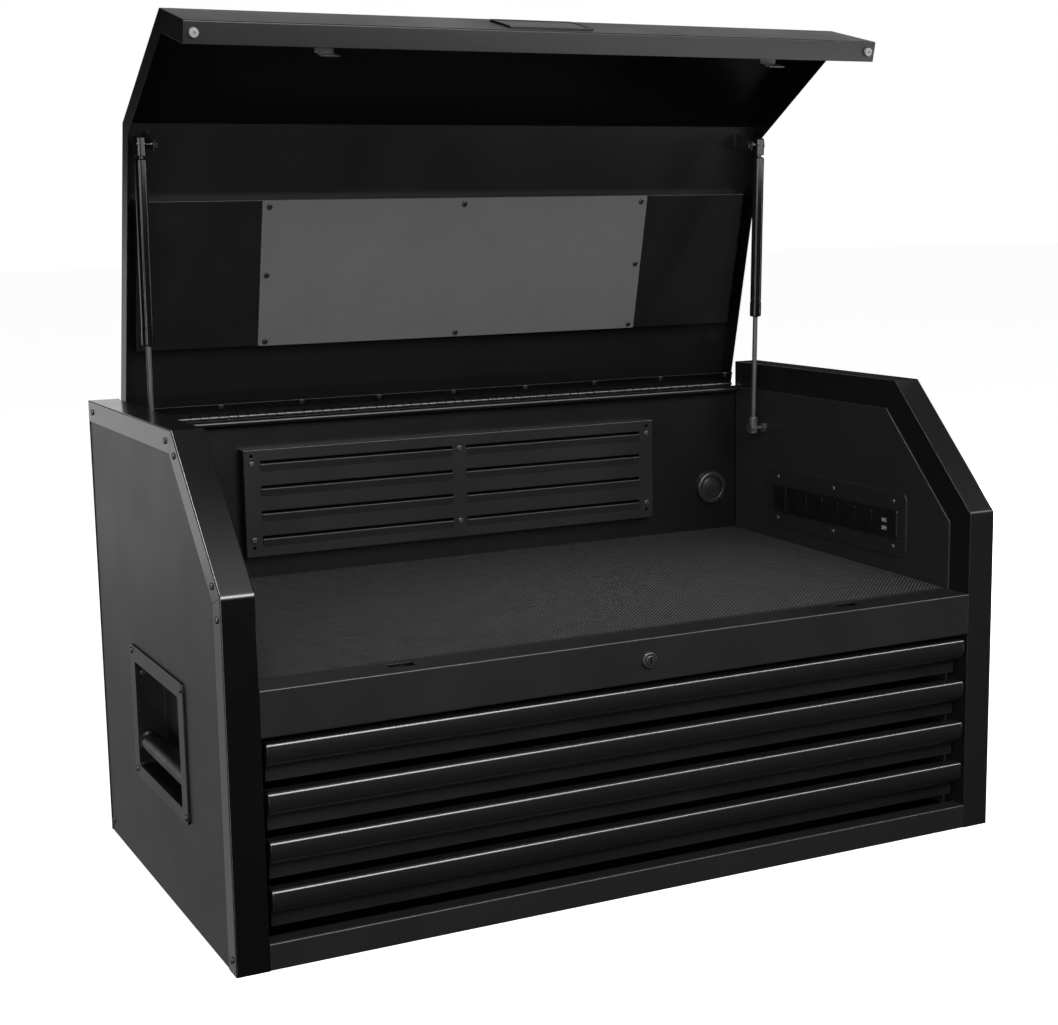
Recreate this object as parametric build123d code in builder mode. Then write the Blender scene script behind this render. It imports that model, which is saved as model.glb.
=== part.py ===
from build123d import *
import math
import os

# Top tool chest: a sheet-steel case with double-walled sides, a gas-strut lid on a
# full-width hinge, an open till with a mat, and four drawers on three-member slides.
# Millimetres. +X to the right, +Y to the back, +Z up. The origin is the middle of the
# footprint, on the face the chest stands on. The lid is drawn shut and then turned
# about its hinge to the open position.

os.makedirs("parts", exist_ok=True)

# ------------------------------------------------------------------ driving dimensions
CASE_W = 1168.4          # overall width of the case
CASE_D = 622.3           # overall depth of the case
CASE_H = 655.5           # height of the side walls
SLOPE = 180.7            # run and rise of the sloped front corner of the side walls
WALL = 46.0              # thickness of the double side walls
T = 1.2                  # sheet thickness
OUT_FLANGE = 30.0        # edge frame, flange on the outside
IN_FLANGE = 60.0         # edge frame, flange on the inside
INSET, INNER_T = 44.0, 2.0   # inner panel: border left free around it, thickness at its hemmed edge
BEND = 1.8               # outside bend radius of the edge frame
KNEE = 10.0              # radius where its front turns into the slope

XO = CASE_W / 2                      # outer face of the walls
XI = XO - WALL                       # inner face of the walls
XF = XI + INNER_T + 0.05             # inner face of the edge frames, behind the inner panels
F = -CASE_D / 2                      # front plane
BK = CASE_D / 2                      # back plane
H = CASE_H
HS = H - SLOPE                       # height where the slope starts, at the front
SY = F + SLOPE                       # where the slope meets the top
YB = BK - 1.3                        # back edge of the wall pieces

RAIL_TOP, RAIL_BOT = 356.2, 296.0    # front rail above the drawers
LEDGE_BACK = -262.0                  # rear edge of the ledge on the front rail
KICK_TOP = 35.0                      # bottom rail
MAT_F, MAT_B, MAT_T = 358.5, 366.5, 5.3   # mat's top at the front and back, thickness

# hinge
HY, HZ = 306.15, 617.5               # hinge axis
KNUCKLE_R, PIN_R, BORE_R = 3.5, 1.5, 1.55
KNUCKLE, KNUCKLE_GAP, KNUCKLES = 15.0, 1.3, 70
LEAF_T = 1.2
BACK_TOP = HZ - 3.8                  # top of the back panel's folded edge
LID_OPEN = 76.83                     # opening angle

# lid
LID_X = 530.0                        # half width
LID_BACK = HY + 4.8                  # rear face of the lid
LID_SIDE = 30.0                      # depth of the side flanges
LIP_BOT = HS - 113.2                 # lower edge of the lip
LIP_RETURN = 29.6

# gas struts
STRUT_X = 516.0
PY, PZ = 220.5, 549.4                # lower ball
LY, LZ = -108.0, 612.5               # upper ball, lid shut
ROD_R, TUBE_R, TUBE_BORE = 4.0, 9.0, 7.5
TUBE_S0, TUBE_S1 = 189.0, 451.0      # tube along the strut, lid open
ROD_S1 = 218.0
BALL_R = 5.0
BRACKET_X = 497.0                    # inner face of the bracket plate on the lid

# drawers
DRAWERS = 4
PULL_TOP, PITCH = 288.2, 62.3
FACE_H, FACE_X, FACE_SET = 52.2, 531.0, 20.0
PULL_X, PULL_H = 534.0, 31.0
BOX_X, BOX_BACK = 526.0, 268.0
SLIDE_F, SLIDE_B = -264.0, 286.0     # case and middle members
SLIDE_SHIFT = 25.0                   # drawer member sits this far ahead

# lock
LOCK_Z, CAM_R, CAM_REST = 326.0, 10.0, -45.0
STRIKE_X0, STRIKE_X1 = 330.0, 356.0  # strikers on the lid's lip

# side handles
HAN_Y, HAN_Z0, HAN_Z1 = 132.0, 139.0, 329.0
OPEN_Y, OPEN_Z0, OPEN_Z1 = 108.0, 157.0, 307.0
PAN_DEPTH = 38.0
PAN_PROUD = 2.0          # the handle plate stands this far off the frame's outer face

# back wall and right wall fittings
LOU_X, LOU_Z0, LOU_Z1, LOU_Y = 360.0, 400.0, 567.0, 290.0
LOU_ROWS = (545.0, 506.5, 467.5, 428.5)
GROM_X, GROM_Z = 487.0, 439.0
GLAND_X, GLAND_Z = XO - 31.0, 435.0
STRIP_Y0, STRIP_Y1, STRIP_Z0, STRIP_Z1 = -149.0, 184.0, 413.0, 457.0
PLATE_Y0, PLATE_Y1, PLATE_Z0, PLATE_Z1 = -168.0, 205.0, 385.0, 485.0

HINGE = Axis((0, HY, HZ), (1, 0, 0))


# ------------------------------------------------------------------------- small helpers
def slab(x0, x1, y0, y1, z0, z1, mode=Mode.ADD):
    with Locations(((x0 + x1) / 2, (y0 + y1) / 2, (z0 + z1) / 2)):
        Box(abs(x1 - x0), abs(y1 - y0), abs(z1 - z0), mode=mode)


def bar_x(r, x0, x1, y, z, mode=Mode.ADD):
    with Locations(Location(((x0 + x1) / 2, y, z), (0, 90, 0))):
        Cylinder(r, abs(x1 - x0), mode=mode)


def bar_y(r, y0, y1, x, z, mode=Mode.ADD):
    with Locations(Location((x, (y0 + y1) / 2, z), (90, 0, 0))):
        Cylinder(r, abs(y1 - y0), mode=mode)


def wall_path(w, y_end=YB, z_end=0.0, ease=0.0):
    # the wall's front, slope and top, moved inwards by w; ease flattens the lower bend
    k = w * math.tan(math.radians(22.5))
    bend = [(F + w, HS - k)]
    if ease:
        bend = [(F + w, HS - k - ease), (F + w + 0.70711 * ease, HS - k + 0.70711 * ease)]
    return [(F + w, z_end)] + bend + [(SY + k, H - w), (y_end, H - w)]


def profile(points, x0, x1, mode=Mode.ADD):
    # a closed outline in Y and Z, from x0 to x1
    with BuildSketch(Plane.YZ.offset(x0)) as outline:
        with BuildLine():
            Polyline(*points, close=True)
        make_face()
    extrude(outline.sketch, amount=x1 - x0, mode=mode)


# ============================================================================ side walls
with BuildPart() as left_outer_panel:
    profile([(F + 1.4, 0), (F + 1.4, HS - 4.8), (F + 4.37, HS + 2.37), (SY + 0.6, H - 1.4),
             (YB, H - 1.4), (YB, 0)],
            -XO + T, -XO + 2 * T)
    slab(-XO + 2 * T, -XO + 18, YB - T, YB, 0, H - 4)            # flange at the back
    slab(-XO + 2 * T, -XI - 3.6, F + 1.4, YB, 0, T)              # flange at the bottom
    slab(-XO, -XO + 3 * T, -OPEN_Y - 2.5, OPEN_Y + 2.5, OPEN_Z0 - 2.5, OPEN_Z1 + 2.5,
         mode=Mode.SUBTRACT)
left_outer_panel.part.label = "left_outer_panel"
export_step(left_outer_panel.part, "parts/left_outer_panel.step")

with BuildPart() as right_outer_panel:
    mirror(left_outer_panel.part, about=Plane.YZ)
right_outer_panel.part.label = "right_outer_panel"
export_step(right_outer_panel.part, "parts/right_outer_panel.step")

with BuildPart() as left_edge_frame:
    profile(wall_path(0) + wall_path(IN_FLANGE)[::-1], -XO, -XF)
    knee = left_edge_frame.edges().filter_by(Axis.X).filter_by(
        lambda e: abs(e.center().Y - F) < 0.01 and abs(e.center().Z - HS) < 0.01)
    fillet(knee, radius=KNEE)
    folds = left_edge_frame.edges().filter_by(
        lambda e: min(abs(e.center().X + XO), abs(e.center().X + XF)) < 0.01
        and (abs(e.center().Y - F) < 0.01 or abs(e.center().Z - H) < 0.01
             or abs(e.center().Z - e.center().Y - (HS - F)) < 0.01
             or (abs(e.center().Y - F) < 2 and abs(e.center().Z - HS) < 2)))
    fillet(folds, radius=BEND)
    profile(wall_path(T, YB + 5, -5, 3.7) + wall_path(IN_FLANGE + 10, YB + 5, -5)[::-1],
            -XO + T, -XF - T, mode=Mode.SUBTRACT)
    profile(wall_path(OUT_FLANGE, YB + 5, -5) + wall_path(IN_FLANGE + 10, YB + 5, -5)[::-1],
            -XO - 1, -XO + T + 1, mode=Mode.SUBTRACT)
    for y, z, dy, dz in ((F, HS, 1.0, -0.41421), (SY, H, 0.41421, -1.0)):    # mitred corners
        profile([(y + 4 * dy - 0.25, z + 4 * dz - 0.25), (y + 4 * dy + 0.25, z + 4 * dz + 0.25),
                 (y + 31 * dy + 0.25, z + 31 * dz + 0.25), (y + 31 * dy - 0.25, z + 31 * dz - 0.25)],
                -XO - 1, -XO + T + 0.05, mode=Mode.SUBTRACT)
left_edge_frame.part.label = "left_edge_frame"
export_step(left_edge_frame.part, "parts/left_edge_frame.step")

with BuildPart() as right_edge_frame:
    mirror(left_edge_frame.part, about=Plane.YZ)
right_edge_frame.part.label = "right_edge_frame"
export_step(right_edge_frame.part, "parts/right_edge_frame.step")

with BuildPart() as left_inner_panel:
    profile(wall_path(INSET, YB - 2, 2) + [(YB - 2, 2)], -XI - INNER_T, -XI)
    hem = left_inner_panel.edges().filter_by(
        lambda e: abs(e.center().X + XI) < 0.01 and e.center().Z > 10 and e.center().Y < YB - 10)
    fillet(hem, radius=1.2)
left_inner_panel.part.label = "left_inner_panel"
export_step(left_inner_panel.part, "parts/left_inner_panel.step")

with BuildPart() as right_inner_panel:
    mirror(left_inner_panel.part, about=Plane.YZ)
    slab(XI - 1, XI + 5, STRIP_Y0 - 0.5, STRIP_Y1 + 0.5, STRIP_Z0 - 0.5, STRIP_Z1 + 0.5,
         mode=Mode.SUBTRACT)
right_inner_panel.part.label = "right_inner_panel"
export_step(right_inner_panel.part, "parts/right_inner_panel.step")

# ============================================================================ back, base
with BuildPart() as back_panel:
    with BuildSketch(Plane.XZ.offset(-BK)):
        with BuildLine():
            Polyline((-XO, 0), (XO, 0), (XO, H), (XI + 0.5, H), (XI + 0.5, BACK_TOP),
                     (-XI - 0.5, BACK_TOP), (-XI - 0.5, H), (-XO, H), close=True)
        make_face()
    extrude(amount=T)
    slab(-536, 536, 298.8, BK, BACK_TOP - T, BACK_TOP)           # folded edge for the hinge
    bar_x(5.2, -533, 533, 298.8, BACK_TOP - 5.2)                 # its front is rolled under
    bar_x(4.0, -536, 536, 298.8, BACK_TOP - 5.2, mode=Mode.SUBTRACT)
    bar_y(24.0, BK - 3, BK + 1, GROM_X, GROM_Z, mode=Mode.SUBTRACT)
    bar_y(8.0, BK - 3, BK + 1, GLAND_X, GLAND_Z, mode=Mode.SUBTRACT)
back_panel.part.label = "back_panel"
export_step(back_panel.part, "parts/back_panel.step")

with BuildPart() as base_pan:
    slab(-538, 538, F + 25.2, BK - 1.4, 0, T)
    slab(-538, -536.8, F + 25.2, BK - 1.4, 0, 25)
    slab(536.8, 538, F + 25.2, BK - 1.4, 0, 25)
    slab(-538, 538, BK - 2.6, BK - 1.4, 0, 25)
base_pan.part.label = "base_pan"
export_step(base_pan.part, "parts/base_pan.step")

with BuildPart() as bottom_rail:
    slab(-XF + 0.1, XF - 0.1, F, F + 25, 0, KICK_TOP)
    nose = bottom_rail.edges().filter_by(Axis.X).filter_by(
        lambda e: abs(e.center().Y - F) < 0.01)
    fillet(nose, radius=2.0)
    slab(-545, 545, F + T, F + 30, T, KICK_TOP - T, mode=Mode.SUBTRACT)
bottom_rail.part.label = "bottom_rail"
export_step(bottom_rail.part, "parts/bottom_rail.step")

# ==================================================================== front rail and till
with BuildPart() as front_rail:
    slab(-XF + 0.1, XF - 0.1, F, LEDGE_BACK, RAIL_BOT, RAIL_TOP)
    nose = front_rail.edges().filter_by(Axis.X).filter_by(
        lambda e: abs(e.center().Y - F) < 0.01)
    fillet(nose, radius=2.2)
    slab(-545, 545, F + T, LEDGE_BACK - T, RAIL_BOT + T, RAIL_TOP - T, mode=Mode.SUBTRACT)
    slab(-545, 545, F + 25, LEDGE_BACK + 1, RAIL_BOT - 1, 320, mode=Mode.SUBTRACT)
    for side in (-1, 1):                                         # notched around the inner panels
        slab(side * 538, side * 545, F + INSET - 0.5, LEDGE_BACK + 1, RAIL_BOT - 1, RAIL_TOP + 1,
             mode=Mode.SUBTRACT)
    for side in (-1, 1):                                         # slots for the strikers
        slab(side * 326, side * 361, -288.5, -270.0, RAIL_TOP - 3, RAIL_TOP + 1,
             mode=Mode.SUBTRACT)
    bar_y(10.2, F - 1, F + 3, 0, LOCK_Z, mode=Mode.SUBTRACT)
    for x in (-170, 150):                                        # guide straps for the latch bar
        slab(x, x + 20, -271.4, -270.2, 322.0, RAIL_TOP - T)
        slab(x, x + 20, -271.4, LEDGE_BACK - T, 322.0, 323.2)
front_rail.part.label = "front_rail"
export_step(front_rail.part, "parts/front_rail.step")

FLOOR_F, FLOOR_B = MAT_F - MAT_T, MAT_B - MAT_T
with BuildPart() as till_floor:
    profile([(LEDGE_BACK, FLOOR_F), (BK - 1.4, FLOOR_B), (BK - 1.4, FLOOR_B - 16),
             (BK - 2.6, FLOOR_B - 16), (BK - 2.6, FLOOR_B - T), (LEDGE_BACK + T, FLOOR_F - T),
             (LEDGE_BACK + T, FLOOR_F - 18), (LEDGE_BACK, FLOOR_F - 18)], -538, 538)
till_floor.part.label = "till_floor"
export_step(till_floor.part, "parts/till_floor.step")

with BuildPart() as till_mat:
    profile([(LEDGE_BACK + 0.5, FLOOR_F + 0.01), (BK - 2.5, FLOOR_B - 0.01), (BK - 2.5, MAT_B),
             (LEDGE_BACK + 0.5, MAT_F)], -537, 537)
till_mat.part.label = "till_mat"
export_step(till_mat.part, "parts/till_mat.step")

# ================================================================= fittings inside the till
with BuildPart() as louvre_panel:
    slab(-LOU_X, LOU_X, LOU_Y, BK - T - 0.02, LOU_Z0, LOU_Z1)
    rim = louvre_panel.edges().filter_by(lambda e: abs(e.center().Y - LOU_Y) < 0.01)
    fillet(rim, radius=1.5)
    slab(-LOU_X + T, LOU_X - T, LOU_Y + T, BK, LOU_Z0 + T, LOU_Z1 - T, mode=Mode.SUBTRACT)
    for z in LOU_ROWS:
        for x0, x1 in ((-333, -12), (12, 333)):
            slab(x0, x1, LOU_Y - 6, LOU_Y + 3, z - 1.2, z + 4.2, mode=Mode.SUBTRACT)
            # the lower edge of the slot is pressed out into a lip
            profile([(LOU_Y + T, z - 13.0), (LOU_Y, z - 12.6), (LOU_Y - 1.3, z - 2.2),
                     (LOU_Y - 1.2, z - 1.1), (LOU_Y - 0.6, z - 0.3), (LOU_Y + 0.2, z - 0.2),
                     (LOU_Y + T, z - 0.9)], x0, x1)
    for x in (-347, 347):
        for z in (557.0, 415.0):
            bar_y(2.6, LOU_Y - 1, LOU_Y + 3, x, z, mode=Mode.SUBTRACT)
louvre_panel.part.label = "louvre_panel"
export_step(louvre_panel.part, "parts/louvre_panel.step")

with BuildPart() as cable_grommet:
    bar_y(28.5, BK - T - 8.0, BK - T, GROM_X, GROM_Z)
    rim = cable_grommet.edges().filter_by(GeomType.CIRCLE).sort_by(Axis.Y)[0]
    fillet(rim, radius=4.4)
    bar_y(23.9, BK - T - 3.0, BK, GROM_X, GROM_Z)
    bar_y(19.6, BK - 12, BK + 1, GROM_X, GROM_Z, mode=Mode.SUBTRACT)
    lip = cable_grommet.edges().filter_by(GeomType.CIRCLE).sort_by(Axis.Y)[0]
    fillet(lip, radius=1.2)
cable_grommet.part.label = "cable_grommet"
export_step(cable_grommet.part, "parts/cable_grommet.step")

with BuildPart() as grommet_cap:
    with BuildSketch(Plane.XY.offset(GROM_Z)):                       # low dome, turned about the bore
        with BuildLine():
            Polyline((GROM_X, BK - 0.6), (GROM_X + 19.5, BK - 0.6), (GROM_X + 19.5, BK - 3.6))
            ThreePointArc((GROM_X + 19.5, BK - 3.6), (GROM_X + 10.0, BK - 6.2), (GROM_X, BK - 7.0))
            Line((GROM_X, BK - 7.0), (GROM_X, BK - 0.6))
        make_face()
    revolve(axis=Axis((GROM_X, 0, GROM_Z), (0, 1, 0)))
    with BuildSketch(Plane.XZ.offset(-BK + 5.0)):                    # ring groove
        with Locations((GROM_X, GROM_Z)):
            Circle(13.6)
            Circle(12.2, mode=Mode.SUBTRACT)
    extrude(amount=4, mode=Mode.SUBTRACT)
    with BuildSketch(Plane.XZ.offset(-BK + 4.6)):                    # thumb notch, off the middle
        with Locations((GROM_X - 3.0, GROM_Z - 4.0)):
            Circle(6.4)
        with Locations((GROM_X - 0.8, GROM_Z - 1.4)):
            Circle(6.4, mode=Mode.SUBTRACT)
    extrude(amount=4, mode=Mode.SUBTRACT)
grommet_cap.part.label = "grommet_cap"
export_step(grommet_cap.part, "parts/grommet_cap.step")

with BuildPart() as power_strip_plate:
    with BuildSketch(Plane.YZ.offset(XI - 1.8)):
        with Locations(((PLATE_Y0 + PLATE_Y1) / 2, (PLATE_Z0 + PLATE_Z1) / 2)):
            RectangleRounded(PLATE_Y1 - PLATE_Y0, PLATE_Z1 - PLATE_Z0, 12)
        with Locations(((STRIP_Y0 + STRIP_Y1) / 2, (STRIP_Z0 + STRIP_Z1) / 2)):
            RectangleRounded(STRIP_Y1 - STRIP_Y0 + 0.6, STRIP_Z1 - STRIP_Z0 + 0.6, 4.3,
                             mode=Mode.SUBTRACT)
    extrude(amount=1.8)
    rim = power_strip_plate.faces().sort_by(Axis.X)[0].outer_wire().edges()
    fillet(rim, radius=0.8)
power_strip_plate.part.label = "power_strip_plate"
export_step(power_strip_plate.part, "parts/power_strip_plate.step")

OUTLETS = (104.0, 60.0, 16.0, -28.0, -72.0)
USB_Y, USB_Z = -117.0, (439.0, 426.5)
FACE = XI - 4.3                                                  # front of the strip
with BuildPart() as power_strip_housing:
    with BuildSketch(Plane.YZ.offset(FACE)):
        with Locations(((STRIP_Y0 + STRIP_Y1) / 2, (STRIP_Z0 + STRIP_Z1) / 2)):
            RectangleRounded(STRIP_Y1 - STRIP_Y0, STRIP_Z1 - STRIP_Z0, 4)
    extrude(amount=34)
    rim = power_strip_housing.faces().sort_by(Axis.X)[0].outer_wire().edges()
    fillet(rim, radius=1.2)
    slab(FACE - 2.2, FACE + 1, 147.0, 152.0, STRIP_Z0 + 1.5, STRIP_Z1 - 1.5)      # ribs beside the ends
    slab(FACE - 1.6, FACE + 1, STRIP_Y0 + 1.5, STRIP_Y0 + 5.0, STRIP_Z0 + 1.5, STRIP_Z1 - 1.5)
    for y in OUTLETS:                                            # raised faces
        with BuildSketch(Plane.YZ.offset(FACE - 1.2)):
            with Locations((y, 435.0)):
                RectangleRounded(31.0, 34.0, 7)
        extrude(amount=1.5)
    for y in OUTLETS:                                            # two blades and an earth pin
        slab(FACE - 5, XI + 8, y + 5.3, y + 7.7, 434.5, 443.5, mode=Mode.SUBTRACT)
        slab(FACE - 5, XI + 8, y - 7.7, y - 5.3, 434.5, 443.5, mode=Mode.SUBTRACT)
        bar_x(2.5, FACE - 5, XI + 8, y, 427.0, mode=Mode.SUBTRACT)
    for z in USB_Z:
        slab(FACE - 2, XI + 10, USB_Y - 7.2, USB_Y + 7.2, z - 3.4, z + 3.4, mode=Mode.SUBTRACT)
power_strip_housing.part.label = "power_strip_housing"
export_step(power_strip_housing.part, "parts/power_strip_housing.step")

with BuildPart() as usb_ports:
    for z in USB_Z:
        slab(FACE + 1.5, XI + 9.9, USB_Y - 7.1, USB_Y + 7.1, z - 3.3, z + 3.3)
        slab(FACE + 0.5, XI + 7, USB_Y - 6.1, USB_Y + 6.1, z - 2.4, z + 2.4, mode=Mode.SUBTRACT)
        slab(FACE + 0.6, XI + 8, USB_Y - 5.0, USB_Y + 5.0, z - 0.4, z + 1.6)
usb_ports.part.label = "usb_ports"
export_step(usb_ports.part, "parts/usb_ports.step")

with BuildPart() as power_cord_gland:
    bar_y(7.9, BK - 12, BK, GLAND_X, GLAND_Z)
    bar_y(11.0, BK - 4.6, BK - T - 0.02, GLAND_X, GLAND_Z)
    bar_y(4.2, BK - 15, BK + 2, GLAND_X, GLAND_Z, mode=Mode.SUBTRACT)
power_cord_gland.part.label = "power_cord_gland"
export_step(power_cord_gland.part, "parts/power_cord_gland.step")

# =========================================================================== side handles
with BuildPart() as left_pan:
    with BuildSketch(Plane.YZ.offset(-XO - PAN_PROUD)):
        with Locations((0, (HAN_Z0 + HAN_Z1) / 2)):
            RectangleRounded(2 * HAN_Y, HAN_Z1 - HAN_Z0, 9)
    extrude(amount=PAN_PROUD + T)
    fillet(left_pan.faces().sort_by(Axis.X)[0].edges(), radius=0.8)
    with BuildSketch(Plane.YZ.offset(-XO + T)):
        with Locations((0, (OPEN_Z0 + OPEN_Z1) / 2)):
            RectangleRounded(2 * OPEN_Y + 2 * T, OPEN_Z1 - OPEN_Z0 + 2 * T, 5 + T)
    extrude(amount=PAN_DEPTH)
    with BuildSketch(Plane.YZ.offset(-XO - PAN_PROUD)):
        with Locations((0, (OPEN_Z0 + OPEN_Z1) / 2)):
            RectangleRounded(2 * OPEN_Y, OPEN_Z1 - OPEN_Z0, 5)
    extrude(amount=PAN_PROUD + PAN_DEPTH, mode=Mode.SUBTRACT)
with BuildPart() as side_handle_pans:
    add(left_pan.part)
    mirror(left_pan.part, about=Plane.YZ)
side_handle_pans.part.label = "side_handle_pans"
export_step(side_handle_pans.part, "parts/side_handle_pans.step")

GRIP_X, GRIP_Z, GRIP_R = -XO + 13.0, 190.0, 12.5
with BuildPart() as left_bar:
    with BuildSketch(Plane.XY.offset(GRIP_Z)):
        with BuildLine():
            Polyline((GRIP_X, -OPEN_Y + 0.1), (GRIP_X + 15.5, -OPEN_Y + 0.1),
                     (GRIP_X + 15.5, -OPEN_Y + 4), (GRIP_X + GRIP_R, -OPEN_Y + 8),
                     (GRIP_X + GRIP_R, OPEN_Y - 8), (GRIP_X + 15.5, OPEN_Y - 4),
                     (GRIP_X + 15.5, OPEN_Y - 0.1), (GRIP_X, OPEN_Y - 0.1), close=True)
        make_face()
    revolve(axis=Axis((GRIP_X, 0, GRIP_Z), (0, 1, 0)))
    slab(-XO - 10, -XO + 0.2, -OPEN_Y, OPEN_Y, GRIP_Z - 20, GRIP_Z + 20, mode=Mode.SUBTRACT)
with BuildPart() as side_handle_bars:
    add(left_bar.part)
    mirror(left_bar.part, about=Plane.YZ)
side_handle_bars.part.label = "side_handle_bars"
export_step(side_handle_bars.part, "parts/side_handle_bars.step")

# ================================================================================ screws
with BuildPart() as pan_screw:                                   # head outwards along +Z
    Cylinder(4.4, 2.2, align=(Align.CENTER, Align.CENTER, Align.MIN))
    fillet(pan_screw.edges().filter_by(GeomType.CIRCLE).sort_by(Axis.Z)[-1], radius=1.4)
    with Locations((0, 0, 2.2)):
        Box(4.6, 1.0, 2.4, mode=Mode.SUBTRACT)
        Box(1.0, 4.6, 2.4, mode=Mode.SUBTRACT)

FRAME_SCREWS = [(288, 640), (-103, 640), (-139.5, 624.5), (-280.5, 483.5), (-295, 445), (-295, 17.6)]
PANEL_SCREWS = [(298, 18)]
HANDLE_SCREWS = [(sy * 123, z) for sy in (-1, 1) for z in (148, 320)]
with BuildPart() as case_screws:
    for side in (-1, 1):
        spots = [Plane((side * XO, y, z), z_dir=(side, 0, 0)) for y, z in FRAME_SCREWS]
        spots += [Plane((side * (XO + PAN_PROUD), y, z), z_dir=(side, 0, 0)) for y, z in HANDLE_SCREWS]
        spots += [Plane((side * (XO - 9), OPEN_Y, 290), z_dir=(0, -1, 0)),       # inside the recess
                  Plane((side * (XO - 9), -OPEN_Y, 290), z_dir=(0, 1, 0))]
        spots += [Plane((side * (XO - T), y, z), z_dir=(side, 0, 0)) for y, z in PANEL_SCREWS]
        with Locations(*spots):
            add(pan_screw.part)
case_screws.part.label = "case_screws"
export_step(case_screws.part, "parts/case_screws.step")

with BuildPart() as interior_screws:
    spots = [Plane((x, LOU_Y, z), z_dir=(0, -1, 0)) for x in (-347, 0, 347) for z in (545.0, 427.0)]
    spots += [Plane((XI - 1.8, y, z), z_dir=(-1, 0, 0)) for y in (174.5, 18.2, -136.7) for z in (470, 400)]
    with Locations(*spots):
        add(pan_screw.part)
interior_screws.part.label = "interior_screws"
export_step(interior_screws.part, "parts/interior_screws.step")

# ================================================================================== lock
with BuildPart() as lock_body:
    bar_y(11.2, F - 4.0, F, 0, LOCK_Z)
    rim = lock_body.edges().filter_by(GeomType.CIRCLE).sort_by(Axis.Y)[0]
    fillet(rim, radius=2.2)
    bar_y(10.0, F - 1, F + 28.0, 0, LOCK_Z)
    with BuildSketch(Plane.XZ.offset(-F - T - 0.02)):            # nut behind the rail
        with Locations((0, LOCK_Z)):
            RegularPolygon(14.5, 6)
    extrude(amount=-4.5)
    bar_y(7.05, F - 20, F + 40, 0, LOCK_Z, mode=Mode.SUBTRACT)
lock_body.part.label = "lock_body"
export_step(lock_body.part, "parts/lock_body.step")

CAM_X = CAM_R * math.sin(math.radians(CAM_REST))
CAM_Z = LOCK_Z + CAM_R * math.cos(math.radians(CAM_REST))
with BuildPart() as lock_plug:
    bar_y(7.0, F - 5.6, F + 29.0, 0, LOCK_Z)
    rim = lock_plug.edges().filter_by(GeomType.CIRCLE).sort_by(Axis.Y)[0]
    fillet(rim, radius=1.6)
    slab(-1.1, 1.1, F - 10, F - 0.5, LOCK_Z - 4.8, LOCK_Z + 4.8, mode=Mode.SUBTRACT)   # keyway
    bar_y(7.0, F + 28.9, F + 31.5, 0, LOCK_Z)
    bar_y(5.5, F + 29.0, F + 31.5, CAM_X, CAM_Z)
    with BuildSketch(Plane.XZ.offset(-F - 29.0)):
        with Locations(Location((CAM_X / 2, (LOCK_Z + CAM_Z) / 2), -CAM_REST)):
            Rectangle(11.0, CAM_R)
    extrude(amount=-2.5)
    bar_y(3.0, F + 30.0, -265.6, CAM_X, CAM_Z)
lock_plug.part.label = "lock_plug"
export_step(lock_plug.part, "parts/lock_plug.step")

with BuildPart() as latch_bar:
    slab(-377, 330, -269.0, -267.0, 325.0, 347.0)
    for x0 in (-375.5, 311.5):                                   # fingers that go into the strikers
        slab(x0, x0 + 13, -279.5, -267.0, 343.0, 347.0)
    slab(CAM_X - 3.5, CAM_X + 3.5, -272, -264, 328.5, 340.0, mode=Mode.SUBTRACT)
    fillet(latch_bar.edges().filter_by(Axis.Y).filter_by(
        lambda e: abs(abs(e.center().X - CAM_X) - 3.5) < 0.01), radius=3.0)
latch_bar.part.label = "latch_bar"
export_step(latch_bar.part, "parts/latch_bar.step")

# ================================================================================= hinge
half = KNUCKLES * KNUCKLE / 2
knuckle_x = [-half + KNUCKLE * (i + 0.5) for i in range(KNUCKLES)]
low_x, up_x = knuckle_x[0::2], knuckle_x[1::2]
tube_len = KNUCKLE - KNUCKLE_GAP
with BuildPart() as hinge_lower_leaf:
    slab(-half, half, HY - 14, HY - 3.9, HZ - 3.8, HZ - 2.6)
    with Locations(*[(x, HY - 2.2, HZ - 3.2) for x in low_x]):
        Box(tube_len, 4.4, LEAF_T)
    with Locations(*[Location((x, HY, HZ), (0, 90, 0)) for x in low_x]):
        Cylinder(KNUCKLE_R, tube_len)
    bar_x(BORE_R, -half - 5, half + 5, HY, HZ, mode=Mode.SUBTRACT)
hinge_lower_leaf.part.label = "hinge_lower_leaf"
export_step(hinge_lower_leaf.part, "parts/hinge_lower_leaf.step")

with BuildPart() as hinge_pin:
    bar_x(PIN_R, -half - 0.8, half + 0.8, HY, HZ)
    bar_x(2.6, -half - 2.0, -half - 0.6, HY, HZ)
    bar_x(2.6, half + 0.6, half + 2.0, HY, HZ)
hinge_pin.part.label = "hinge_pin"
export_step(hinge_pin.part, "parts/hinge_pin.step")

RIVETS = [128.5 * i for i in range(-4, 5)]
RETURN_Z, RETURN_Y = HZ + 5.2, HY - 19.6                         # lid's rear return flange, lid shut
RIVET_Y = HY - 16.2
with BuildPart() as hinge_upper_leaf:
    slab(-half, half, HY - 19.2, HY - 3.9, RETURN_Z - LEAF_T, RETURN_Z)
    with Locations(*[(x, HY - 2.5, HZ + 3.8) for x in up_x]):
        Box(tube_len, 4.2, 2.8)
    with Locations(*[Location((x, HY, HZ), (0, 90, 0)) for x in up_x]):
        Cylinder(KNUCKLE_R - 0.3, tube_len)
    bar_x(BORE_R, -half - 5, half + 5, HY, HZ, mode=Mode.SUBTRACT)
    with Locations(*[(x, RIVET_Y, RETURN_Z) for x in RIVETS]):
        Cylinder(2.05, 8, mode=Mode.SUBTRACT)
hinge_upper_leaf.part = hinge_upper_leaf.part.rotate(HINGE, -LID_OPEN)
hinge_upper_leaf.part.label = "hinge_upper_leaf"
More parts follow.
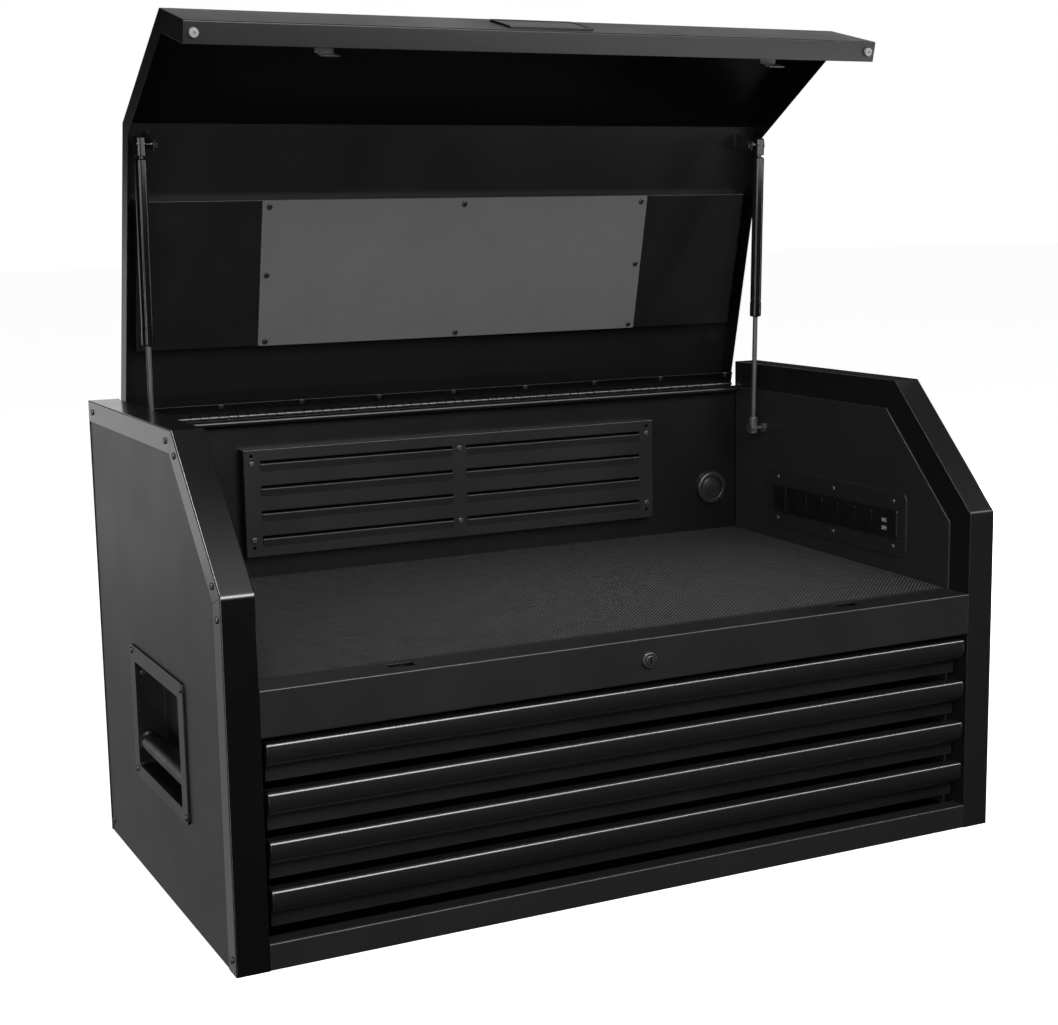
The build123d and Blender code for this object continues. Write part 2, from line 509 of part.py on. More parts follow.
export_step(hinge_upper_leaf.part, "parts/hinge_upper_leaf.step")

with BuildPart() as rivet:                                       # head outwards along +Z
    Cylinder(4.2, 1.7, align=(Align.CENTER, Align.CENTER, Align.MIN))
    fillet(rivet.edges().filter_by(GeomType.CIRCLE).sort_by(Axis.Z)[-1], radius=1.4)
    Cylinder(2.0, 2.4, align=(Align.CENTER, Align.CENTER, Align.MAX))
with BuildPart() as hinge_rivets:
    with Locations(*[Plane((x, RIVET_Y, RETURN_Z - LEAF_T), z_dir=(0, 0, -1)) for x in RIVETS]):
        add(rivet.part)
hinge_rivets.part = hinge_rivets.part.rotate(HINGE, -LID_OPEN)
hinge_rivets.part.label = "hinge_rivets"
export_step(hinge_rivets.part, "parts/hinge_rivets.step")

# =================================================================================== lid
k30 = LID_SIDE * math.tan(math.radians(22.5))
kt = T * math.tan(math.radians(22.5))
FLANGE_LOW = RETURN_Z
with BuildPart() as lid_shell:
    profile([(LID_BACK, FLANGE_LOW), (LID_BACK, H), (SY, H), (F, HS), (F, LIP_BOT),
             (F + LIP_RETURN, LIP_BOT), (F + LIP_RETURN, HS - k30), (SY + k30, H - LID_SIDE),
             (LID_BACK - T, H - LID_SIDE), (LID_BACK - T, FLANGE_LOW)], -LID_X, LID_X)
    folds = lid_shell.edges().filter_by(
        lambda e: (abs(abs(e.center().X) - LID_X) < 0.01 and
                   (abs(e.center().Y - F) < 0.01 or abs(e.center().Z - H) < 0.01
                    or abs(e.center().Z - e.center().Y - (HS - F)) < 0.01))
        or (abs(e.center().X) < 0.01 and abs(e.center().Y - F) < 0.01
            and abs(e.center().Z - LIP_BOT) < 0.01)
        or (abs(e.center().X) < 0.01 and abs(e.center().Y - LID_BACK) < 0.01
            and abs(e.center().Z - H) < 0.01))
    fillet(folds, radius=2.0)
    profile([(LID_BACK - T, 560), (LID_BACK - T, H - T), (SY + kt, H - T), (F + T, HS - kt),
             (F + T, LIP_BOT + T), (F + 90, LIP_BOT + T), (F + 90, 440)],
            -LID_X + T, LID_X - T, mode=Mode.SUBTRACT)
    slab(-LID_X, LID_X, RETURN_Y, LID_BACK, RETURN_Z, RETURN_Z + T)      # rear return flange
    with Locations(*[(x, RIVET_Y, RETURN_Z) for x in RIVETS]):
        Cylinder(2.05, 8, mode=Mode.SUBTRACT)
lid_shell.part = lid_shell.part.rotate(HINGE, -LID_OPEN)
lid_shell.part.label = "lid_shell"
export_step(lid_shell.part, "parts/lid_shell.step")

STF_Y0, STF_Y1, STF_D = -22.0, 201.0, 20.0
with BuildPart() as lid_stiffener:                               # channel across the lid, brims turned in
    profile([(STF_Y0, H - T), (STF_Y0 + 16, H - T), (STF_Y0 + 16, H - 2 * T),
             (STF_Y0 + T, H - 2 * T), (STF_Y0 + T, H - STF_D), (STF_Y1 - T, H - STF_D),
             (STF_Y1 - T, H - 2 * T), (STF_Y1 - 16, H - 2 * T), (STF_Y1 - 16, H - T),
             (STF_Y1, H - T), (STF_Y1, H - STF_D - T), (STF_Y0, H - STF_D - T)], -513, 513)
    folds = lid_stiffener.edges().filter_by(Axis.X).filter_by(
        lambda e: abs(e.center().Z - (H - STF_D - T)) < 0.01)
    fillet(folds, radius=1.0)
lid_stiffener.part = lid_stiffener.part.rotate(HINGE, -LID_OPEN)
lid_stiffener.part.label = "lid_stiffener"
export_step(lid_stiffener.part, "parts/lid_stiffener.step")

PLATE_LOW = H - STF_D - T
with BuildPart() as lid_plate:
    with BuildSketch(Plane.XY.offset(PLATE_LOW)):
        with Locations((0, (STF_Y0 + STF_Y1) / 2)):
            RectangleRounded(654, STF_Y1 - STF_Y0, 3)
    extrude(amount=-1.6)
    chamfer(lid_plate.faces().sort_by(Axis.Z)[0].edges(), length=0.5)
lid_plate.part = lid_plate.part.rotate(HINGE, -LID_OPEN)
lid_plate.part.label = "lid_plate"
export_step(lid_plate.part, "parts/lid_plate.step")

with BuildPart() as lid_plate_screws:
    spots = [(x, y) for y in (-12.5, 193.5) for x in (-316, 0, 316)] + [(-317, 91), (317, 91)]
    with Locations(*[Plane((x, y, PLATE_LOW - 1.6), z_dir=(0, 0, -1)) for x, y in spots]):
        add(pan_screw.part)
lid_plate_screws.part = lid_plate_screws.part.rotate(HINGE, -LID_OPEN)
lid_plate_screws.part.label = "lid_plate_screws"
export_step(lid_plate_screws.part, "parts/lid_plate_screws.step")

with BuildPart() as lid_nameplate:
    with BuildSketch(Plane.XZ.offset(-F)):
        with Locations((0, 424)):
            RectangleRounded(132, 71, 6)
    extrude(amount=2.4)
    fillet(lid_nameplate.faces().sort_by(Axis.Y)[0].edges(), radius=1.0)
    with BuildSketch(Plane.XZ.offset(-F + 2.4)):
        with Locations((0, 424)):
            RectangleRounded(124, 63, 4)
    extrude(amount=-0.8, mode=Mode.SUBTRACT)
lid_nameplate.part = lid_nameplate.part.rotate(HINGE, -LID_OPEN)
lid_nameplate.part.label = "lid_nameplate"
export_step(lid_nameplate.part, "parts/lid_nameplate.step")

with BuildPart() as lid_bumpers:
    for x in (-517, 517):
        with BuildSketch(Plane.XY.offset(LIP_BOT)):
            with Locations((x, -296)):
                Circle(6.4)
        extrude(amount=-5.0)
    fillet(lid_bumpers.faces().filter_by(Axis.Z).group_by(Axis.Z)[0].edges(), radius=1.6)
    for x in (-517, 517):
        with Locations((x, -296, LIP_BOT - 5.0)):
            Cylinder(2.0, 5.0, mode=Mode.SUBTRACT)
lid_bumpers.part = lid_bumpers.part.rotate(HINGE, -LID_OPEN)
lid_bumpers.part.label = "lid_bumpers"
export_step(lid_bumpers.part, "parts/lid_bumpers.step")

with BuildPart() as lid_strikers:
    for x0 in (STRIKE_X0, -STRIKE_X1):
        x1 = x0 + STRIKE_X1 - STRIKE_X0
        slab(x0, x1, -302, -273.2, LIP_BOT + T, LIP_BOT + T + 2)
        slab(x0, x1, -275.2, -273.2, 338.0, LIP_BOT + T + 2)
        slab(x0 - 1, x0 + 13, -277, -272, 342.0, 348.5, mode=Mode.SUBTRACT)      # notch for the finger
lid_strikers.part = lid_strikers.part.rotate(HINGE, -LID_OPEN)
lid_strikers.part.label = "lid_strikers"
export_step(lid_strikers.part, "parts/lid_strikers.step")

with BuildPart() as strut_upper_brackets:
    for side in (-1, 1):
        with BuildSketch(Plane.YZ.offset(min(side * BRACKET_X, side * (BRACKET_X + 2.0)))):
            with BuildLine():
                Polyline((LY - 11, H - T), (LY + 11, H - T), (LY + 11, H - 10), (LY + 7.5, LZ - 7.5),
                         (LY - 7.5, LZ - 7.5), (LY - 11, H - 10), close=True)
            make_face()
        extrude(amount=2.0)
        slab(side * (BRACKET_X + 1), side * (BRACKET_X - 5), LY - 11, LY + 11, H - T - 2.0, H - T)
        with BuildSketch(Plane.YZ.offset(min(side * BRACKET_X, side * (BRACKET_X - 5.0)))):   # nut
            with Locations((LY, LZ)):
                RegularPolygon(6.6, 6)
        extrude(amount=5.0)
strut_upper_brackets.part = strut_upper_brackets.part.rotate(HINGE, -LID_OPEN)
strut_upper_brackets.part.label = "strut_upper_brackets"
export_step(strut_upper_brackets.part, "parts/strut_upper_brackets.step")

# ============================================================================ gas struts
th = math.radians(LID_OPEN)
LOY = HY + (LY - HY) * math.cos(th) + (LZ - HZ) * math.sin(th)    # upper ball, lid open
LOZ = HZ - (LY - HY) * math.sin(th) + (LZ - HZ) * math.cos(th)
LEN_OPEN = math.hypot(LOY - PY, LOZ - PZ)
LEN_SHUT = math.hypot(LY - PY, LZ - PZ)
LEAN = math.degrees(math.atan2(PY - LOY, LOZ - PZ))
SWING = math.degrees(math.atan2(PY - LY, LZ - PZ)) - LEAN
print("strut: open", round(LEN_OPEN, 3), "shut", round(LEN_SHUT, 3), "lean", round(LEAN, 4),
      "swing", round(SWING, 4), "upper ball open", round(LOY, 3), round(LOZ, 3))
print("ratio swing", round(SWING / LID_OPEN, 6), "slide m/rad", round((LEN_OPEN - LEN_SHUT) / 1000 / th, 7))
print("slide axis", round((PY - LOY) / LEN_OPEN, 6), round((PZ - LOZ) / LEN_OPEN, 6))
FOOT = Axis((0, PY, PZ), (1, 0, 0))

NECK_R = 3.2
NECK_X = math.sqrt(BALL_R ** 2 - NECK_R ** 2)
SEAT_R, MOUTH_R = BALL_R + 0.2, 4.6
MOUTH_X = math.sqrt(SEAT_R ** 2 - MOUTH_R ** 2)
with BuildPart() as strut_lower_studs:
    for side in (-1, 1):
        sx = side * STRUT_X
        with BuildSketch(Plane.XY.offset(PZ)):
            with BuildLine():
                ThreePointArc((sx - side * BALL_R, PY), (sx, PY + BALL_R), (sx + side * NECK_X, PY + NECK_R))
                Polyline((sx + side * NECK_X, PY + NECK_R), (side * XI, PY + NECK_R), (side * XI, PY),
                         (sx - side * BALL_R, PY))
            make_face()
        revolve(axis=Axis((0, PY, PZ), (1, 0, 0)))
        with BuildSketch(Plane.YZ.offset(min(side * XI, side * (XI - 5.7)))):
            with Locations((PY, PZ)):
                RegularPolygon(8.0, 6)
        extrude(amount=5.7)
strut_lower_studs.part.label = "strut_lower_studs"
export_step(strut_lower_studs.part, "parts/strut_lower_studs.step")

for side, hand in ((-1, "left"), (1, "right")):
    sx = side * STRUT_X
    # rod with its piston and lower socket, drawn upright over the lower ball, then leaned
    with BuildPart() as strut_rod:
        with BuildSketch(Plane.XZ.offset(-PY)):
            with BuildLine():
                Polyline((sx, PZ - 8.6), (sx + 6.6, PZ - 8.6), (sx + 7.6, PZ - 7.6), (sx + 7.6, PZ + 17),
                         (sx + 6.0, PZ + 19.5), (sx + ROD_R, PZ + 19.5), (sx + ROD_R, PZ + 207), (sx + 7.3, PZ + 207),
                         (sx + 7.3, PZ + ROD_S1), (sx, PZ + ROD_S1), close=True)
            make_face()
        revolve(axis=Axis((sx, PY, PZ), (0, 0, 1)))
        bar_x(8.0, sx - 8.0 * side, sx + 4.2 * side, PY, PZ)
        with BuildSketch(Plane.XY.offset(PZ)):                       # seat of the ball and its mouth
            with BuildLine():
                ThreePointArc((sx - side * SEAT_R, PY), (sx, PY + SEAT_R), (sx + side * MOUTH_X, PY + MOUTH_R))
                Polyline((sx + side * MOUTH_X, PY + MOUTH_R), (sx + side * 9, PY + MOUTH_R),
                         (sx + side * 9, PY), (sx - side * SEAT_R, PY))
            make_face()
        revolve(axis=Axis((0, PY, PZ), (1, 0, 0)), mode=Mode.SUBTRACT)
    strut_rod.part = strut_rod.part.rotate(FOOT, LEAN)
    strut_rod.part.label = hand + "_strut_rod"
    export_step(strut_rod.part, "parts/" + hand + "_strut_rod.step")

    # tube with its guide, end collar, neck, upper socket and ball stud
    top = PZ + LEN_OPEN
    with BuildPart() as strut_tube:
        with BuildSketch(Plane.XZ.offset(-PY)):
            with BuildLine():
                Polyline((sx + ROD_R + 0.08, PZ + TUBE_S0), (sx + 8.2, PZ + TUBE_S0),
                         (sx + 9.4, PZ + TUBE_S0 + 1.6), (sx + 9.4, PZ + TUBE_S0 + 24),
                         (sx + 8.6, PZ + TUBE_S0 + 24.6), (sx + 8.6, PZ + TUBE_S0 + 25.8),
                         (sx + TUBE_R, PZ + TUBE_S0 + 26.3), (sx + TUBE_R, PZ + TUBE_S1 - 2),
                         (sx + 7.0, PZ + TUBE_S1), (sx + 4.5, PZ + TUBE_S1), (sx + 4.5, top - 16.6),
                         (sx + 7.8, top - 16.6), (sx + 8.6, top - 15.6), (sx + 8.6, top + 9.0),
                         (sx + 7.2, top + 11.0), (sx, top + 11.0), (sx, PZ + TUBE_S1 - 8), (sx + TUBE_BORE, PZ + TUBE_S1 - 8),
                         (sx + TUBE_BORE, PZ + TUBE_S0 + 12), (sx + ROD_R + 0.08, PZ + TUBE_S0 + 12),
                         close=True)
            make_face()
        revolve(axis=Axis((sx, PY, PZ), (0, 0, 1)))
        bar_x(7.5, sx - 5.5 * side, sx + 6.5 * side, PY, top)
        bar_x(3.2, sx, side * (BRACKET_X + 2.3), PY, top)
        bar_x(6.0, side * (BRACKET_X + 2.3), side * (BRACKET_X + 6.5), PY, top)
    strut_tube.part = strut_tube.part.rotate(FOOT, LEAN)
    strut_tube.part.label = hand + "_strut_cylinder"
    export_step(strut_tube.part, "parts/" + hand + "_strut_cylinder.step")

# =============================================================================== drawers
with BuildPart() as slide_outer_members:
    for n in range(DRAWERS):
        zc = PULL_TOP - PITCH * n - 27.0
        for side in (-1, 1):
            xw = XI
            slab(side * (xw - T), side * xw, SLIDE_F, SLIDE_B, zc - 18, zc + 18)
            slab(side * 531.0, side * xw, SLIDE_F, SLIDE_B, zc + 18 - T, zc + 18)
            slab(side * 531.0, side * xw, SLIDE_F, SLIDE_B, zc - 18, zc - 18 + T)
slide_outer_members.part.label = "slide_outer_members"
export_step(slide_outer_members.part, "parts/slide_outer_members.step")

for n in range(DRAWERS):
    zt = PULL_TOP - PITCH * n
    zb = zt - FACE_H
    zc = zt - 27.0
    tag = "drawer_" + str(n + 1)
    yf = F + FACE_SET

    with BuildPart() as drawer_box:
        slab(-FACE_X, FACE_X, yf, yf + T, zb, zt)                           # front
        slab(-BOX_X, BOX_X, yf + T, BOX_BACK, zb + 2, zb + 3)               # bottom
        slab(-BOX_X, BOX_X, BOX_BACK - 1, BOX_BACK, zb + 2, zt - 8)         # back
        for side in (-1, 1):
            slab(side * (BOX_X - 1), side * BOX_X, yf + T, BOX_BACK, zb + 2, zt - 8)
            slab(side * (BOX_X - 4), side * BOX_X, yf + T, BOX_BACK, zt - 9, zt - 8)
            slab(side * FACE_X, side * (FACE_X - T), yf, yf + 8, zb, zt)    # folded ends of the front
        slab(-FACE_X, FACE_X, yf, yf + 8, zb, zb + T)
    drawer_box.part.label = tag + "_box"
    export_step(drawer_box.part, "parts/" + tag + "_box.step")

    with BuildPart() as drawer_pull:
        with BuildSketch(Plane.YZ.offset(-PULL_X)):
            with BuildLine() as skin:
                Line((yf, zt), (F + 4.6, zt))
                ThreePointArc((F + 4.6, zt), (F + 1.77, zt - 1.17), (F + 0.66, zt - 3.31))
                ThreePointArc((F + 0.66, zt - 3.31), (F, zt - 11.0), (F + 1.55, zt - 21.0))
                ThreePointArc((F + 1.55, zt - 21.0), (F + 4.5, zt - 26.8), (F + 9.5, zt - PULL_H))
                offset(amount=1.5, side=Side.LEFT)
            make_face()
        extrude(amount=2 * PULL_X)
        with BuildSketch(Plane.YZ.offset(-PULL_X)):
            with BuildLine():
                Line((yf, zt), (F + 4.6, zt))
                ThreePointArc((F + 4.6, zt), (F + 1.77, zt - 1.17), (F + 0.66, zt - 3.31))
                ThreePointArc((F + 0.66, zt - 3.31), (F, zt - 11.0), (F + 1.55, zt - 21.0))
                ThreePointArc((F + 1.55, zt - 21.0), (F + 4.5, zt - 26.8), (F + 9.5, zt - PULL_H))
                Polyline((F + 9.5, zt - PULL_H), (yf, zt - PULL_H + 7), (yf, zt))
            make_face()
        extrude(amount=1.5)
        with BuildSketch(Plane.YZ.offset(PULL_X - 1.5)):
            with BuildLine():
                Line((yf, zt), (F + 4.6, zt))
                ThreePointArc((F + 4.6, zt), (F + 1.77, zt - 1.17), (F + 0.66, zt - 3.31))
                ThreePointArc((F + 0.66, zt - 3.31), (F, zt - 11.0), (F + 1.55, zt - 21.0))
                ThreePointArc((F + 1.55, zt - 21.0), (F + 4.5, zt - 26.8), (F + 9.5, zt - PULL_H))
                Polyline((F + 9.5, zt - PULL_H), (yf, zt - PULL_H + 7), (yf, zt))
            make_face()
        extrude(amount=1.5)
    drawer_pull.part.label = tag + "_pull"
    export_step(drawer_pull.part, "parts/" + tag + "_pull.step")

    with BuildPart() as slide_inner:
        for side in (-1, 1):
            slab(side * 526.1, side * 527.3, SLIDE_F - SLIDE_SHIFT + 8, SLIDE_B - SLIDE_SHIFT, zc - 13, zc + 13)
            slab(side * 526.1, side * 532.3, SLIDE_F - SLIDE_SHIFT + 8, SLIDE_B - SLIDE_SHIFT, zc + 13 - T, zc + 13)
            slab(side * 526.1, side * 532.3, SLIDE_F - SLIDE_SHIFT + 8, SLIDE_B - SLIDE_SHIFT, zc - 13, zc - 13 + T)
    slide_inner.part.label = tag + "_slide_inner"
    export_step(slide_inner.part, "parts/" + tag + "_slide_inner.step")

    with BuildPart() as slide_mid:
        for side in (-1, 1):
            slab(side * 534.0, side * 535.2, SLIDE_F, SLIDE_B, zc - 15.5, zc + 15.5)
            slab(side * 529.2, side * 535.2, SLIDE_F, SLIDE_B, zc + 15.5 - T, zc + 15.5)
            slab(side * 529.2, side * 535.2, SLIDE_F, SLIDE_B, zc - 15.5, zc - 15.5 + T)
    slide_mid.part.label = tag + "_slide_mid"
    export_step(slide_mid.part, "parts/" + tag + "_slide_mid.step")
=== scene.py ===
import math
import bpy
import bmesh
from mathutils import Matrix, Vector


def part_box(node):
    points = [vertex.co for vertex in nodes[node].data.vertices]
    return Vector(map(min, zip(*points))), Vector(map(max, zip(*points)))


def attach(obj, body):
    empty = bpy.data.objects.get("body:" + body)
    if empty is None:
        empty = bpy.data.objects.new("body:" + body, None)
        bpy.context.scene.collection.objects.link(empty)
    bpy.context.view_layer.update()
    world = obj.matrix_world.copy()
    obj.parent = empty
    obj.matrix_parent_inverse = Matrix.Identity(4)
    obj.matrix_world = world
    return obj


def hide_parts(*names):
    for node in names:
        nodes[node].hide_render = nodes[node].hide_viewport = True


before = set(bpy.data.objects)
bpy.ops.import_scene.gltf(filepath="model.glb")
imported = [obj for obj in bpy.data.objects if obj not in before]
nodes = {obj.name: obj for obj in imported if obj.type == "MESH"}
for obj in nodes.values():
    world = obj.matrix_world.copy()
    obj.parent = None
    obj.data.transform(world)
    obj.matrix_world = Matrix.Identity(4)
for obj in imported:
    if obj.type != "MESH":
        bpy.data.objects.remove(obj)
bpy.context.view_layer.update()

scene = bpy.context.scene
scene.view_settings.view_transform = "Standard"
scene.view_settings.look = "None"


# --------------------------------------------------------------------------- camera
def make_camera():
    f_px, w_px = 1813.5, 1058.0
    yaw, pitch, roll = math.radians(26.414), math.radians(9.476), math.radians(-0.932)
    fwd = Vector((math.sin(yaw) * math.cos(pitch), math.cos(yaw) * math.cos(pitch), -math.sin(pitch)))
    right = Vector((math.cos(yaw), -math.sin(yaw), 0.0))
    up = right.cross(fwd)
    r2 = math.cos(roll) * right + math.sin(roll) * up
    u2 = -math.sin(roll) * right + math.cos(roll) * up
    data = bpy.data.cameras.new("camera")
    data.sensor_fit = "HORIZONTAL"
    data.sensor_width = 36.0
    data.lens = 36.0 * f_px / w_px
    data.clip_end = 100
    cam = bpy.data.objects.new("camera", data)
    scene.collection.objects.link(cam)
    m = Matrix((r2, u2, -fwd)).transposed().to_4x4()
    m.translation = Vector((-1.1870, -2.3483, 0.9207))
    cam.matrix_world = m
    scene.camera = cam


make_camera()


# ------------------------------------------------------------------- material helpers
class Mat:
    """A principled material with a few helpers for its node tree."""

    def __init__(self, name, color, rough, metallic=0.0, spec=0.5):
        self.m = bpy.data.materials.new(name)
        self.m.use_nodes = True
        self.t = self.m.node_tree
        self.b = self.t.nodes["Principled BSDF"]
        self.b.inputs["Base Color"].default_value = (*color, 1)
        self.b.inputs["Roughness"].default_value = rough
        self.b.inputs["Metallic"].default_value = metallic
        self.b.inputs["Specular IOR Level"].default_value = spec
        self.co = self.t.nodes.new("ShaderNodeTexCoord").outputs["Object"]
        self.bump_in = None

    def node(self, kind, **props):
        n = self.t.nodes.new(kind)
        for k, v in props.items():
            setattr(n, k, v)
        return n

    def link(self, a, b):
        self.t.links.new(a, b)

    def stretch(self, scale):
        n = self.node("ShaderNodeMapping")
        n.inputs["Scale"].default_value = scale
        self.link(self.co, n.inputs["Vector"])
        return n.outputs["Vector"]

    def noise(self, scale, detail=2.0, rough=0.5, vec=None):
        n = self.node("ShaderNodeTexNoise")
        n.inputs["Scale"].default_value = scale
        n.inputs["Detail"].default_value = detail
        n.inputs["Roughness"].default_value = rough
        self.link(vec or self.co, n.inputs["Vector"])
        return n.outputs["Fac"]

    def ramp(self, fac, stops):
        n = self.node("ShaderNodeValToRGB")
        e = n.color_ramp.elements
        while len(e) > 1:
            e.remove(e[-1])
        e[0].position, e[0].color = stops[0][0], (*stops[0][1], 1)
        for p, c in stops[1:]:
            x = e.new(p)
            x.color = (*c, 1)
        self.link(fac, n.inputs["Fac"])
        return n.outputs["Color"]

    def span(self, fac, lo, hi, a=0.3, b=0.7):
        n = self.node("ShaderNodeMapRange")
        n.inputs["From Min"].default_value = a
        n.inputs["From Max"].default_value = b
        n.inputs["To Min"].default_value = lo
        n.inputs["To Max"].default_value = hi
        self.link(fac, n.inputs["Value"])
        return n.outputs["Result"]

    def color(self, sock):
        self.link(sock, self.b.inputs["Base Color"])

    def rough(self, sock):
        self.link(sock, self.b.inputs["Roughness"])

    def bump(self, height, strength, dist):
        n = self.node("ShaderNodeBump")
        n.inputs["Strength"].default_value = strength
        n.inputs["Distance"].default_value = dist
        self.link(height, n.inputs["Height"])
        if self.bump_in is not None:
            self.link(self.bump_in, n.inputs["Normal"])
        self.bump_in = n.outputs["Normal"]
        self.link(self.bump_in, self.b.inputs["Normal"])


def powder(name, lo, hi, r_lo, r_hi, peel=0.10, spec=0.5, slow=9, soft=0.0):
    """Powder coat: orange peel, fine speckle and a slow change of gloss."""
    m = Mat(name, hi, r_hi, spec=spec)
    m.color(m.ramp(m.noise(700, 3, 0.6), [(0.30, lo), (0.70, hi)]))
    m.rough(m.span(m.noise(slow, 3, 0.5), r_lo, r_hi))
    if soft:
        edge = m.node("ShaderNodeBevel", samples=6)
        edge.inputs["Radius"].default_value = soft
        m.bump_in = edge.outputs["Normal"]
    m.bump(m.noise(420, 2, 0.5), peel, 0.0006)
    m.bump(m.noise(2600, 2, 0.6), peel * 0.8, 0.00015)
    return m.m


def grey(v, blue=0.01):
    return (v, v, v * (1 + blue))


def black(v, k=0.30):
    return grey(v * (1 - k)), grey(v * (1 + k))


M = {}
M["rail"] = powder("black_powder_coat_rail", *black(0.0185), 0.34, 0.40, spec=0.42, soft=0.0008)
# lit and shaded copies of one coat: the right edge frame carries painted light (higher albedo), the left
# painted shade (lower albedo)
M["frame"] = powder("black_powder_coat_frame", *black(0.0050), 0.19, 0.22, 0.05, spec=0.72)
M["frame_right_lit_copy"] = powder("black_powder_coat_frame_right", *black(0.0165), 0.22, 0.25, 0.05, spec=0.16)
M["coat_side"] = powder("black_powder_coat_panel", *black(0.0150), 0.42, 0.46, 0.14, spec=0.45)
M["pan"] = powder("black_powder_coat_pan", *black(0.0090), 0.34, 0.40, 0.10, soft=0.0012)
# darker copy of the body coat: painted shade for the back panel, base pan, till floor and strikers
M["coat_in"] = powder("black_powder_coat_inside", *black(0.0060), 0.29, 0.33, spec=0.36, soft=0.0006)
# lighter copy of the body coat: painted light on the inner walls, raised to make up for the little light they
# get
M["wall"] = powder("black_powder_coat_wall", *black(0.0270), 0.40, 0.46, soft=0.0006)
M["strip_plate"] = powder("black_powder_coat_strip", *black(0.0210), 0.42, 0.48)
M["louvre"] = powder("black_powder_coat_louvre", *black(0.0125), 0.34, 0.40, spec=0.40, soft=0.0010)
# darker copy of the body coat: painted shade, set to the lid's shaded inside
M["lid"] = powder("black_powder_coat_lid", *black(0.0052), 0.32, 0.37, spec=0.38, soft=0.0008)
M["pull"] = powder("pull_satin_black", *black(0.0130, 0.18), 0.25, 0.27, 0.03, spec=1.0, slow=3, soft=0.0012)
# darker copy of the body coat: painted shade for the drawer faces beneath the pulls
M["drawer"] = powder("drawer_black", *black(0.0060), 0.38, 0.44)


def plate_grey():
    m = Mat("grey_textured_plate", (0.11, 0.11, 0.108), 0.5)
    grain = m.ramp(m.noise(1100, 3, 0.65), [(0.28, (0.082, 0.082, 0.080)), (0.72, (0.150, 0.150, 0.147))])
    cloud = m.ramp(m.noise(14, 4, 0.6), [(0.30, (0.97, 0.97, 0.97)), (0.70, (1.05, 1.05, 1.05))])
    mix = m.node("ShaderNodeMix", data_type="RGBA", blend_type="MULTIPLY")
    mix.inputs["Factor"].default_value = 1.0
    m.link(grain, mix.inputs["A"])
    m.link(cloud, mix.inputs["B"])
    m.color(mix.outputs["Result"])
    m.rough(m.span(m.noise(260, 3), 0.42, 0.62))
    m.bump(m.noise(900, 3, 0.6), 0.35, 0.0005)
    m.bump(m.noise(3200, 2, 0.6), 0.2, 0.0002)
    return m.m


def mat_foam():
    m = Mat("mat_foam", (0.035, 0.035, 0.036), 0.72, spec=0.4)
    wear = m.ramp(m.noise(240, 4, 0.6), [(0.25, (0.80, 0.80, 0.80)), (0.75, (1.20, 1.20, 1.20))])
    relief = m.node("ShaderNodeAttribute", attribute_name="relief")
    # painted shade in the valleys of the relief and a painted highlight on its crests
    relief_shade_and_highlight = m.ramp(relief.outputs["Fac"], [(0.0, grey(0.003)), (0.50, grey(0.012)), (1.0, grey(0.210))])
    mix = m.node("ShaderNodeMix", data_type="RGBA", blend_type="MULTIPLY")
    mix.inputs["Factor"].default_value = 1.0
    m.link(relief_shade_and_highlight, mix.inputs["A"])
    m.link(wear, mix.inputs["B"])
    # painted light and shade: lighter in the middle, darker towards the sides and the back, where the walls and
    # the lid shade the mat; tone matched to the picture: lighter in the middle, darker towards the sides and
    # the back
    place = m.node("ShaderNodeMapping", vector_type="TEXTURE")
    place.inputs["Location"].default_value = (0.16, -0.12, 0.36)
    place.inputs["Scale"].default_value = (0.80, 0.48, 1.0)
    m.link(m.co, place.inputs["Vector"])
    spot = m.node("ShaderNodeTexGradient", gradient_type="SPHERICAL")
    m.link(place.outputs["Vector"], spot.inputs["Vector"])
    painted_light_falloff = m.ramp(spot.outputs["Fac"], [(0.20, grey(0.45, 0)), (0.80, grey(1.12, 0))])
    both = m.node("ShaderNodeMix", data_type="RGBA", blend_type="MULTIPLY")
    both.inputs["Factor"].default_value = 1.0
    m.link(mix.outputs["Result"], both.inputs["A"])
    m.link(painted_light_falloff, both.inputs["B"])
    m.color(both.outputs["Result"])
    m.rough(m.span(m.noise(60, 3), 0.55, 0.78))
    m.bump(m.noise(2200, 2, 0.6), 0.25, 0.0002)
    return m.m


def steel(name, lo, hi, r_lo, r_hi, stretch=(1.0, 1.0, 1.0), scale=900, metallic=1.0):
    m = Mat(name, hi, r_hi, metallic=metallic)
    v = m.stretch(stretch)
    g = m.noise(scale, 4, 0.6, v)
    m.color(m.ramp(g, [(0.3, lo), (0.7, hi)]))
    m.rough(m.span(g, r_lo, r_hi))
    m.bump(g, 0.06, 0.0002)
    return m.m


def hinge_leaf():
    """Steel knuckles with a dark coat on the flat leaf above them."""
    m = Mat("hinge_leaf", (0.1, 0.1, 0.1), 0.34, metallic=1.0)
    g = m.noise(900, 4, 0.6, m.stretch((0.15, 1, 1)))
    part = m.node("ShaderNodeSeparateXYZ")
    m.link(m.co, part.inputs["Vector"])
    low = m.span(part.outputs["Z"], 1.0, 0.0, 0.6211, 0.6216)
    mix = m.node("ShaderNodeMix", data_type="RGBA")
    m.link(low, mix.inputs["Factor"])
    m.link(m.ramp(g, [(0.3, grey(0.016)), (0.7, grey(0.030))]), mix.inputs["A"])
    m.link(m.ramp(g, [(0.3, grey(0.035)), (0.7, grey(0.075))]), mix.inputs["B"])
    m.color(mix.outputs["Result"])
    m.rough(m.span(g, 0.28, 0.40))
    m.bump(g, 0.06, 0.0002)
    return m.m


def plastic(name, lo, hi, r_lo, r_hi, grain=1500, bump=0.15):
    m = Mat(name, hi, r_hi)
    m.color(m.ramp(m.noise(grain * 0.4, 3), [(0.3, lo), (0.7, hi)]))
    m.rough(m.span(m.noise(40, 3), r_lo, r_hi))
    m.bump(m.noise(grain, 3, 0.6), bump, 0.0003)
    return m.m


